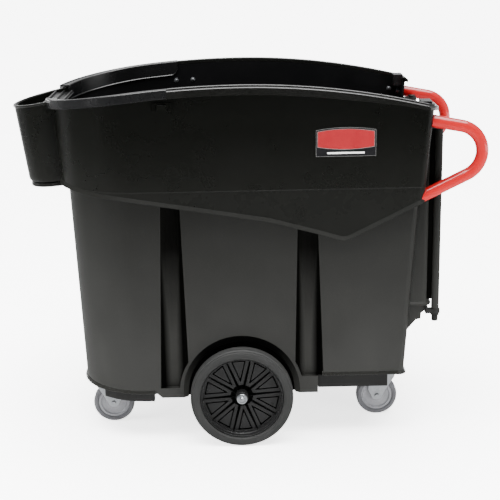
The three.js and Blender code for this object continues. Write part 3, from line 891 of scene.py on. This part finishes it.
# The bead takes the lower body's lighter plastic: a painted highlight along the band where it catches the
# light.
place(belly_bead, "belly_edge", BODY, "cart", (), 40)
crease_frames = round_frames(lambda x: CREASE_Z, SKIRT_CREASE, SKIRT_TOP, CREASE_Z, SKIRT_TOP_Z)
crease_half = half_frames(crease_frames, lambda f: f[1] > 100)
crease_bead = both_sides(sweep(crease_half, CREASE_BEAD))
# The crease bead takes the lighter body plastic too: a painted highlight line along the crease.
place(crease_bead, "crease_line", BODY, "cart", (), 40)


def foot_bead(x):
    """The foot's edge stands out further round the front and rear ends."""
    out = 2.4 + 3.4 * min(1, max(0, (-x - 380) / 80)) + 5 * min(1, max(0, (x - 455) / 20))
    return rounded([(-3, -3), (out, -3, 1.0), (out, -0.5, 1.6), (-0.5, 9.5, 2), (-3, 10)], 3)


foot_frames = round_frames(
    lambda x: 155 if x < 0 else 203, BODY_LOW, BODY_TOP, BODY_LOW_Z, BODY_TOP_Z, 60
)
front_foot = half_frames(foot_frames, lambda f: f[0] < -256)
rear_foot = half_frames(foot_frames, lambda f: f[0] > 232)
front_foot = front_foot + [(x, -y, z, nx, -ny) for x, y, z, nx, ny in reversed(front_foot)]
rear_foot = rear_foot[::-1] + [(x, -y, z, nx, -ny) for x, y, z, nx, ny in rear_foot]
foot = gather([sweep(front_foot, foot_bead), sweep(rear_foot, foot_bead)])
place(foot, "foot_edge", EDGE, "cart", (), 40)


# ---- the nose ----
def nose_top(x):
    return NOSE_TOP_Z + 0.2 * (x - NOSE_TIP_TOP_X)


def nose_low(x):
    return NOSE_LOW_Z + 0.15 * (x - NOSE_TIP_LOW_X)


def nose_plan(tip, r, inset, back, steps=48):
    cx = tip + r
    half = r - inset
    return [(back, half), *arc(cx, 0, half, 90, 270, steps), (back, -half)]


def nose_ring(t, inset, back, lift=0.0):
    tip = lerp(NOSE_TIP_LOW_X, NOSE_TIP_TOP_X, t)
    points = nose_plan(tip, lerp(NOSE_LOW_R, NOSE_TOP_R, t), inset, back)
    return (lambda x: lerp(nose_low(x), nose_top(x), t) + lift, points)


def nose():
    corner = ((14, 0), (8.6, 1.2), (4.6, 4), (1.8, 8.2), (0.4, 13), (0, 18))
    outer = loft([*(nose_ring(0, a, -480, b) for a, b in corner), nose_ring(1, 0, -480, -4)])
    inner = loft([nose_ring(0, 14, -470, 6), nose_ring(0, 6, -470, 14), nose_ring(1, 6, -470, 40)])
    shell = cut(outer, inner, skirt_block(3.5))
    frames = []
    for x, y in nose_plan(NOSE_TIP_TOP_X, NOSE_TOP_R, 0, -543, 64):
        away = Vector((min(x - NOSE_TIP_TOP_X - NOSE_TOP_R, 0), y)).normalized()
        frames.append((x, y, nose_top(x) - 4, away.x, away.y))
    bead = rounded([(-6, -4.5, 1), (-0.5, -5, 1), (4, -3, 2.4), (4, 3.6, 3.4), (-6.2, 4, 2.4)], 4)
    return shell, sweep(frames, bead)


nose_shell, nose_bead = nose()
place(nose_shell, "tub_nose", TUB, "cart", (), 32)
place(nose_bead, "nose_bead", RIM, "cart", (), 40)


def skid_ring(lift, inset):
    points = nose_plan(NOSE_TIP_LOW_X + 7, 124, inset, -509)
    return (lambda x: nose_low(x) + lift, points)


skid_edge = ((-SKID_THICK, 2.4), (-SKID_THICK + 0.7, 0.8), (-SKID_THICK + 2.4, 0), (-3.2, 0),
             (-1.6, 0.8), (-0.6, 2.6), (0.4, 6))
skid = cut(loft([skid_ring(lift, inset) for lift, inset in skid_edge]), skirt_block(-0.3))
place(skid, "nose_skid", RIM, "cart", ["nose_skid_plate"], 40)


# ---- main wheels ----
def tyre_profile():
    return rounded(
        [
            (123.8, TYRE_IN + 4, 1), (141, TYRE_IN, 4), (147, TYRE_IN + 3, 3),
            (WHEEL_R, TYRE_IN + 10, 6), (WHEEL_R, TYRE_IN + 21, 0.6),
            (WHEEL_R - 1.2, TYRE_IN + 22, 0.5), (WHEEL_R - 1.2, WHEEL_OUT - 22, 0.5),
            (WHEEL_R, WHEEL_OUT - 21, 0.6), (WHEEL_R, WHEEL_OUT - 10, 6),
            (148.6, WHEEL_OUT - 4.6, 2), (146.2, WHEEL_OUT - 4.8, 0.8),
            (144.6, WHEEL_OUT - 1.6, 1.6), (136, WHEEL_OUT, 5), (127.5, WHEEL_OUT - 1, 1.5),
            (126.2, WHEEL_OUT - 3, 0.8), (123.8, WHEEL_OUT - 3.2, 0.5),
        ],
        4,
    )


def rim_profile():
    return rounded(
        [
            (12.4, 284, 0.6), (18, 284, 0.8), (18, 299, 2), (60, 300.5, 4), (106, 302.6, 2),
            (110, TYRE_IN + 5, 1), (123.5, TYRE_IN + 5, 1), (123.5, WHEEL_OUT - 14, 0.4),
            (121.9, WHEEL_OUT - 14, 0.4), (121.9, WHEEL_OUT - 5.2, 0.8),
            (119.4, WHEEL_OUT - 4.8, 1.0), (118.6, 326, 2), (116.2, 324.5, 1),
            (115.4, 313.6, 0.8), (111, 313.6, 2), (60, 313.4, 8), (34, 313.6, 5), (24, 311, 3),
            (20, 311, 1.5), (18.4, 334, 1), (12.4, 336, 0.6),
        ],
        4,
    )


PADS = 10
PAD_TURN = math.radians(4.5)
GROOVE_FLOOR = 305
DISC_FACE = 313.6


def pad_outline(grow):
    """One triangular pad's outline, base outward, about the wheel's axis."""
    tip, base, half = 46 - grow * 3, 108 + grow, 19.4 + grow * 1.25
    return rounded([(tip, 0, 1.6), (base, -half, 2), (base, half, 2)], 4)


def about_axle(points, turn, y0, y1):
    c, s = math.cos(turn), math.sin(turn)
    ring = [(r * c - t * s, r * s + t * c) for r, t in points]
    return [[(x, y, z + WHEEL_R) for x, z in ring] for y in (y0, y1)]


def wheel_rim():
    rim = lathe_y(rim_profile(), 160, 0, WHEEL_R)
    cutters = []
    for k in range(PADS):
        turn = math.pi / 2 + 2 * math.pi * k / PADS + PAD_TURN
        groove = skin(about_axle(pad_outline(2.0), turn, GROOVE_FLOOR, 360))
        pad = skin(about_axle(pad_outline(-2.0), turn, 290, 370))
        cutters.append(cut(groove, pad))
        slot = rounded([(18.6, -4.4, 1), (118, -2.3, 0.8), (118, 2.3, 0.8), (18.6, 4.4, 1)], 2)
        cutters.append(skin(about_axle(slot, turn + math.pi / PADS, GROOVE_FLOOR, 360)))
    return cut(rim, *cutters)


def cap_profile():
    return rounded(
        [
            (0, 343.4), (8.2, 343.4), (8.2, 337.5), (15, 337.5, 0.6), (15.8, 340, 0.8),
            (15.6, 345, 1.6), (11.4, 346.4, 1.4), (9.6, 344.6, 0.8), (7.2, 345, 0.8),
            (6.4, 350, 2.2), (3, 351), (0, 351.2),
        ],
        4,
    )


def paint_groove_shade(disc):
    """The floors and sides of the disc's grooves and slots, painted near-black as the shade in them."""
    disc.data.materials.append(SHADED)
    for face in disc.data.polygons:
        x, y, z = ((v - o) / MM for v, o in zip(face.center, (AXLE_X, 0, WHEEL_R * MM)))
        if GROOVE_FLOOR - 1.2 < abs(y) < DISC_FACE - 0.5 and math.hypot(x, z) < 119:
            face.material_index = 1


def ring_y(inner, outer, y0, y1, soft_in, soft_out):
    """A plain ring on the main axle, its edges softened inside and outside."""
    corners = [(inner, y0, soft_in), (outer, y0, soft_out), (outer, y1, soft_out), (inner, y1, soft_in)]
    return lathe_y(rounded(corners, 3), 48, 0, WHEEL_R)


tyre = lathe_y(tyre_profile(), 192, 0, WHEEL_R)
rim = wheel_rim()
cap = lathe_y(cap_profile(), 64, 0, WHEEL_R)
washer = ring_y(8.2, 15, 279, 282.5, 0.4, 0.6)
bush = ring_y(8.2, 12.1, 283.6, 336.2, 0.5, 0.5)
WHEEL_PIECES = (
    ("tyre", tyre, TYRE, "tyre_rubber", "wheel_tyre_", 28, 0),
    ("wheel_disc", rim, WHEEL_RIM, "rim_plastic", "wheel_rim_", 28, 0.35),
    ("cap", cap, ZINC, "zinc_steel", "wheel_cap_nut_", 40, 0),
    ("washer", washer, ZINC, "zinc_steel", "wheel_washer_", 40, 0),
    ("bush", bush, NYLON, "nylon", "wheel_bush_", 40, 0),
)
for name, shape, material, slot, node, sharp, bevel in WHEEL_PIECES:
    for side, s in SIDES:
        twin = copy(shape) if s > 0 else mirrored(shape)
        place(twin, name + "_" + side, material, "wheel_" + side, [node + side], sharp, bevel)
        if name == "wheel_disc":
            paint_groove_shade(twin)
    drop(shape)

axle_rod = lathe_y(rounded([(0, -343), (7.9, -343, 1), (7.9, 343, 1), (0, 343)], 3), 48, 0, WHEEL_R)
place(axle_rod, "axle_rod", ZINC, "cart", ["axle"], 40)


# ---- casters, drawn about the swivel axis with the wheel towards +x ----
def hexagon(r, x, z, turn=0.0):
    return [
        (x + r * math.cos(math.pi / 3 * k + turn), z + r * math.sin(math.pi / 3 * k + turn))
        for k in range(6)
    ]


def caster_plate():
    corners = rounded([(-31, -40, 6), (31, -40, 6), (31, 40, 6), (-31, 40, 6)], 5)
    top = CASTER_MOUNT_Z - 0.3
    plate = loft([(top - 3, corners), (top, corners)])
    race = rounded(
        [(0, 129.5), (6, 129.5, 0.6), (6, 141.6), (24, 141.6, 1.6), (22.5, 149.5, 1), (0, 149.5)], 4
    )
    nut = loft([(129.2, hexagon(9.5, 0, 0)), (134.4, hexagon(9.5, 0, 0))])
    return join(plate, lathe_z(race), nut)


def caster_fork():
    leg = rounded(
        [(-23, 141), (-18, 126, 8), (8, 84, 20), (24, 52, 13), (46, 52, 13), (62, 84, 16),
         (60, 118, 16), (46, 141)],
        6,
    )
    legs = cut(prism(leg, -21.6, 21.6), box(-60, 90, -18.8, 18.8, 30, 135.6))
    crown = lathe_z(rounded([(0, 135.6), (24, 135.6, 1), (24, 141.2, 1.8), (0, 141.2)], 4))
    hole = lathe_z([(0, 125), (10.2, 125), (10.2, 150), (0, 150)])
    bore = lathe_y([(0, -40), (5.2, -40), (5.2, 40), (0, 40)], 32, CASTER_TRAIL, CASTER_R)
    return cut(join(legs, crown), hole, bore)


def caster_bolt():
    shapes = [lathe_y([(0, -26), (4.9, -26), (4.9, 26), (0, 26)], 32, CASTER_TRAIL, CASTER_R)]
    for s in (-1, 1):
        nut = hexagon(8, CASTER_TRAIL, CASTER_R, 0.2)
        shapes.append(prism(nut, *sorted((s * 22, s * 27))))
    return join(*shapes)


def turned(half):
    """A caster wheel's layer, from its profile up to the middle plane, which is mirrored."""
    profile = half + [(r, -y, soft) for r, y, soft in reversed(half)]
    return lathe_y(rounded(profile, 4), 96, CASTER_TRAIL, CASTER_R)


CORE_HALF = [
    (5.6, -15.5, 0.6), (10.5, -15.3, 1), (12.5, -10, 1.5), (26, -8.6, 2), (38, -9.4, 2),
    (41.5, -13.4, 1.2), (43.6, -13.4, 1), (44.6, -12, 0.8), (48, -12.4, 0.6),
]
TREAD_HALF = [(48.2, -13, 0.8), (51, -15, 1), (58, -15.6, 3), (CASTER_R, -10, 5)]

CASTER_PIECES = (
    ("plate", caster_plate(), ZINC, "zinc_steel", "_swivel_plate", None, 0.5),
    ("forks", caster_fork(), ZINC, "zinc_steel", "_fork", "_swivel", 0.5),
    ("bolt", caster_bolt(), ZINC, "zinc_steel", "_axle_bolt", "_swivel", 0.5),
    ("core", turned(CORE_HALF), CORE, "caster_core", "_wheel_core", "_wheel", 0),
    ("tread", turned(TREAD_HALF), TREAD, "caster_rubber", "_tread", "_wheel", 0),
)
for piece, shape, material, slot, node, suffix, bevel in CASTER_PIECES:
    for end, x, y, trail in CASTERS:
        for side, s in SIDES:
            name = "caster_" + end + "_" + side
            move = Matrix.Translation((x * MM, s * y * MM, 0))
            if trail < 0:
                move = move @ Matrix.Rotation(math.pi, 4, "Z")
            body = "cart" if suffix is None else name + suffix
            own = piece + "_" + end + "_" + side
            place(copy(shape), own, material, body, [name + node], 35, bevel, move)
    drop(shape)


# ---- handles ----
def handle_points(steps=40):
    """The bar's middle line from the upper arm's root, with the direction away from the bend."""
    cx, cz = HANDLE_BEND
    r = HANDLE_BEND_R
    first, second = math.radians(90 - HANDLE_TOP_SLOPE), math.radians(HANDLE_LOW_SLOPE - 90)
    c, s = math.cos(first), math.sin(first)
    found = [(cx + r * c - s * HANDLE_UPPER_ARM, cz + r * s + c * HANDLE_UPPER_ARM, first)]
    for i in range(steps + 1):
        a = lerp(first, second, i / steps)
        found.append((cx + r * math.cos(a), cz + r * math.sin(a), a))
    x, z, _ = found[-1]
    c, s = math.cos(second), math.sin(second)
    found.append((x + s * HANDLE_LOWER_ARM, z - c * HANDLE_LOWER_ARM, second))
    return found


def handle(around=40):
    """One loop handle, cut off where it meets the skin of the tub."""
    rings = []
    for x, z, a in handle_points():
        ring = []
        for k in range(around):
            b = 2 * math.pi * k / around
            out = HANDLE_R * math.cos(b)
            y = HANDLE_Y + HANDLE_R * math.sin(b)
            ring.append((x + out * math.cos(a), y, z + out * math.sin(a)))
        rings.append(ring)
    bar = cut(skin(rings), join(skirt_block(-0.3), body_block(-0.3)))
    bm = bmesh.new()
    bm.from_mesh(bar.data)
    loose = max(bm.verts, key=lambda v: v.co.x)
    seen, front = {loose}, [loose]
    while front:
        vertex = front.pop()
        for edge in vertex.link_edges:
            other = edge.other_vert(vertex)
            if other not in seen:
                seen.add(other)
                front.append(other)
    bmesh.ops.delete(bm, geom=[v for v in bm.verts if v not in seen], context="VERTS")
    bm.to_mesh(bar.data)
    bm.free()
    return bar


bar = handle()
for side, s in SIDES:
    twin = copy(bar) if s > 0 else mirrored(bar)
    place(twin, "loop_handle_" + side, HANDLE_RED, "cart", ["handle_" + side], 40)
drop(bar)


# ---- rear rails ----
for side, s in SIDES:
    tube = rounded(
        [(0, RAIL_LOW_Z), (RAIL_R, RAIL_LOW_Z, 1), (RAIL_R, RAIL_TOP_Z, 3), (0, RAIL_TOP_Z)], 5
    )
    tube = lathe_z(tube, 48, RAIL_X, s * RAIL_Y)
    place(tube, "rail_" + side, BODY, "cart", ["rail_tube_" + side], 40)
    across = (s * RAIL_Y - RAIL_WEB / 2, s * RAIL_Y + RAIL_WEB / 2)
    web = box(540, RAIL_X, *across, SHELF_Z + 19, 935.7)
    foot = box(566.4, RAIL_X, *across, 396.4, SHELF_Z + 30)
    web = join(cut(web, rear_bulge(-0.3), skirt_block(-0.3)), foot)
    # The web takes the channel plastic, near-black this far from the channels: painted shade between the
    # bulge and the rail.
    place(web, "rail_web_" + side, CHANNEL, "cart", (), 40, 0.6)
    plug = rounded(
        [(0, 359), (8.6, 359, 1.2), (9.6, 364, 1), (9.6, 376.5, 0.6), (12.6, 377, 0.8),
         (12.6, 379.7, 0.8), (0, 379.7)],
        4,
    )
    plug = lathe_z(plug, 48, RAIL_X, s * RAIL_Y)
    place(plug, "rail_plug_" + side, BASE, "cart", ["rail_end_plug_" + side], 40)
    for node in ("rail_arm_upper_", "rail_arm_lower_", "axle_bracket_"):
        dress(node + side, BASE, 0.9)
    dress("corner_block_" + side, GUARD, 1.8)
    dress("rim_hook_" + side, TUB, 1.2)
    for level in ("upper_", "lower_"):
        dress("handle_bolt_" + level + side, ZINC, 0.5)
dress("front_base", BASE, 1.2)
dress("rear_base", BASE, 1.2)


# ---- fasteners on the inner walls ----
def dome_bolt(s, x, z):
    """A round-headed bolt on its washer, standing off an inner side wall."""
    wall = skirt_half(z) - WALL
    profile = rounded(
        [(0, wall + 1), (8, wall + 1), (8, wall - 1.2, 0.5), (5.6, wall - 1.4, 0.3),
         (5.2, wall - 3.6, 1.4), (2.5, wall - 4.8, 1), (0, wall - 5)],
        4,
    )
    return lathe_y([(r, s * y) for r, y in profile], 32, x, z)


BOLT_SPOTS = ((-195, 1008), (-140, 1010), (509, 968))
for side, s in SIDES:
    shapes = [dome_bolt(s, x, z) for x, z in BOLT_SPOTS]
    place(gather(shapes), "wall_bolts_" + side, DULL_ZINC, "cart", (), 40)


# ---- labels ----
def label_material(name, tone, light, rough):
    m = Nodes(name)
    cloud = m.noise(30, 4)
    m.set(Base_Color=m.mix(m.spread(cloud, 0, 1), tone, light))
    m.set(Roughness=m.spread(cloud, rough, rough + 0.08))
    m.bump((m.noise(260, 2), 0.0002, 0.2))
    m.set(Specular_IOR_Level=0.12, Coat_Weight=0.05, Coat_Roughness=0.1)
    return m.material


# Colours of a label's base, field, edge and bar.
LABEL_BASE = label_material("label_film_black", (0.003, 0.003, 0.0034), (0.004, 0.004, 0.0045), 0.3)
LABEL_RED = label_material("label_film_red", (0.11, 0.002, 0.004), (0.13, 0.003, 0.005), 0.3)
LABEL_GREY = label_material("label_film_grey", (0.06, 0.06, 0.058), (0.085, 0.085, 0.083), 0.3)
LABEL_PALE = label_material("label_film_pale", (0.34, 0.34, 0.33), (0.42, 0.42, 0.41), 0.3)


def arched(half, low, high, rise, bow=0.0, steps=16):
    """A label field: flat or bowed below, arched above."""
    found = []
    for i in range(steps + 1):
        t = -1 + 2 * i / steps
        found.append((half * t, low - bow * (1 - t * t)))
    for i in range(steps + 1):
        t = 1 - 2 * i / steps
        found.append((half * t, high + rise * (1 - t * t)))
    return found


# Each layer: name, material, outline, and how far its two faces stand off the skirt.
LABEL_LAYERS = (
    ("edge", LABEL_GREY, arched(84, -41, 34, 7.5), 0.0, 0.7),
    ("film", LABEL_BASE, arched(83.2, -40.2, 33.2, 7.5), 0.5, 1.0),
    ("outline", LABEL_GREY, arched(80.0, -14.2, 30.0, 7.4, 7.3), 0.9, 1.2),
    ("field", LABEL_RED, arched(79, -13.2, 29, 7.4, 7.2), 1.1, 1.5),
    ("bar", LABEL_PALE, arched(52, -33.4, -28.6, 0), 0.9, 1.2),
)
LABEL_X, LABEL_Z = 305, 914
tilt = math.atan2(SKIRT_TOP[2] - SKIRT_CREASE[2], SKIRT_TOP_Z - CREASE_Z)
for side, s in SIDES:
    for layer, material, points, inner, outer in LABEL_LAYERS:
        shape = skin([[(x, s * y, z) for x, z in points] for y in (inner, outer)])
        move = Matrix.Translation((LABEL_X * MM, s * skirt_half(LABEL_Z) * MM, LABEL_Z * MM))
        move = move @ Matrix.Rotation(-s * tilt, 4, "X")
        stands = ["label_" + side] if layer == "edge" else ()
        place(shape, "label_" + layer + "_" + side, material, "cart", stands, 40, 0, move)


# ---- the floor, the light and the camera ----
def stage(name, points, faces, scale, tones, glow, rough=1.0, specular=0.0, unseen=()):
    """A faintly clouded stage surface with a glow of its own, unseen by the named kinds of ray."""
    m = Nodes(name)
    cloud = m.spread(m.noise(scale, 3), 0, 1)
    m.set(Base_Color=m.mix(cloud, *[(tone, tone, tone) for tone in tones]))
    m.set(Roughness=rough, Specular_IOR_Level=specular)
    m.set(Emission_Color=(1, 1, 1, 1), Emission_Strength=glow)
    mesh = bpy.data.meshes.new(name)
    mesh.from_pydata(points, [], faces)
    mesh.materials.append(m.material)
    obj = linked(mesh, name)
    for kind in unseen:
        setattr(obj, "visible_" + kind, False)


FLOOR_HALF = 60
square = [(x * FLOOR_HALF, y * FLOOR_HALF, 0) for x, y in ((-1, -1), (1, -1), (1, 1), (-1, 1))]
stage("studio_floor", square, [(0, 1, 2, 3)], 1.5, (0.86, 0.88), 2.5, 0.9, 0.1)

world = bpy.data.worlds.new("studio")
scene.world = world
world.use_nodes = True
backlight = world.node_tree.nodes["Background"].inputs
backlight["Color"].default_value = (1, 1, 1, 1)
backlight["Strength"].default_value = 0.9


def aim(obj, location, target):
    scene.collection.objects.link(obj)
    obj.location = location
    obj.rotation_mode = "QUATERNION"
    obj.rotation_quaternion = (Vector(target) - Vector(location)).to_track_quat("-Z", "Y")


def soft_light(name, location, target, size, power):
    data = bpy.data.lights.new(name, "AREA")
    data.shape = "RECTANGLE"
    data.size, data.size_y = size
    data.energy = power
    obj = bpy.data.objects.new(name, data)
    aim(obj, location, target)
    return obj


soft_light("strip_light", (0.2, -1.4, 3.4), (0.2, 0, 0.9), (2.6, 0.1), 60)
sky = bpy.data.lights.new("overhead_light", "SUN")
sky.energy = 17
sky.angle = math.radians(60)
aim(bpy.data.objects.new("overhead_light", sky), (0.35, -0.35, 6), (0, 0, 0))
soft_light("left_softbox", (-2.2, 0.6, 1.0), (-0.5, 0, 0.9), (0.6, 1.7), 1.6)
# The fills lift the dark plastic without showing in its gloss.
for fill in (
    soft_light("right_fill", (2.2, -1.9, 0.5), (0.3, -0.3, 0.3), (2.0, 1.2), 130),
    soft_light("left_fill", (-2.8, -0.6, 1.0), (-0.3, -0.1, 0.7), (1.6, 1.6), 220),
):
    fill.visible_glossy = False


def flag(name, corners, glow):
    """A dim card that only reflections see: an unlit side of the studio."""
    unseen = ("camera", "diffuse", "shadow", "transmission")
    stage(name, corners, [(0, 1, 2, 3)], 2, (0.001, 0.002), glow, unseen=unseen)


flag("front_flag", [(-2.6, -2.0, 0.02), (2.6, -2.0, 0.02), (2.6, -2.6, 2.2), (-2.6, -2.6, 2.2)], 0)
flag("left_flag", [(-2.6, 2.4, 0.02), (-2.6, -2.0, 0.02), (-3.2, -2.6, 2.6), (-3.2, 2.4, 2.6)], 0.22)
flag("floor_card", [(-5, -3.4, 0.003), (5, -3.4, 0.003), (5, 6, 0.003), (-5, 6, 0.003)], 1.0)


def backdrop(sides=64, radius=55, low=-0.5, high=45):
    """A pale round wall far behind the floor that only the camera sees."""
    turns = [2 * math.pi * i / sides for i in range(sides)]
    points = [(radius * math.cos(a), radius * math.sin(a), z) for z in (low, high) for a in turns]
    faces = [(i, (i + 1) % sides, sides + (i + 1) % sides, sides + i) for i in range(sides)]
    unseen = ("diffuse", "glossy", "shadow", "transmission")
    stage("studio_backdrop", points, faces, 1, (0.001, 0.002), 8.6, unseen=unseen)


backdrop()

# The camera that a fit to the photo gave, in the row frame.
CAMERA_AT = (-0.01915, -3.557, 1.511)
CAMERA_PITCH, CAMERA_YAW, CAMERA_ROLL = 15.67, 0.58, -1.06


def camera():
    data = bpy.data.cameras.new("camera")
    data.lens = 84.38
    data.sensor_width = 36
    data.clip_start, data.clip_end = 0.05, 300
    obj = bpy.data.objects.new("camera", data)
    scene.collection.objects.link(obj)
    pitch, yaw, roll = (math.radians(a) for a in (CAMERA_PITCH, CAMERA_YAW, CAMERA_ROLL))
    ahead = Vector((math.sin(yaw), math.cos(yaw), 0))
    across = Vector((math.cos(yaw), -math.sin(yaw), 0))
    high = Vector((0, 0, 1))
    look = ahead * math.cos(pitch) - high * math.sin(pitch)
    up = high * math.cos(pitch) + ahead * math.sin(pitch)
    right = across * math.cos(roll) + up * math.sin(roll)
    top = up * math.cos(roll) - across * math.sin(roll)
    turn = Matrix((right, top, -look)).transposed().to_4x4()
    obj.matrix_world = Matrix.Translation(CAMERA_AT) @ turn
    scene.camera = obj


camera()
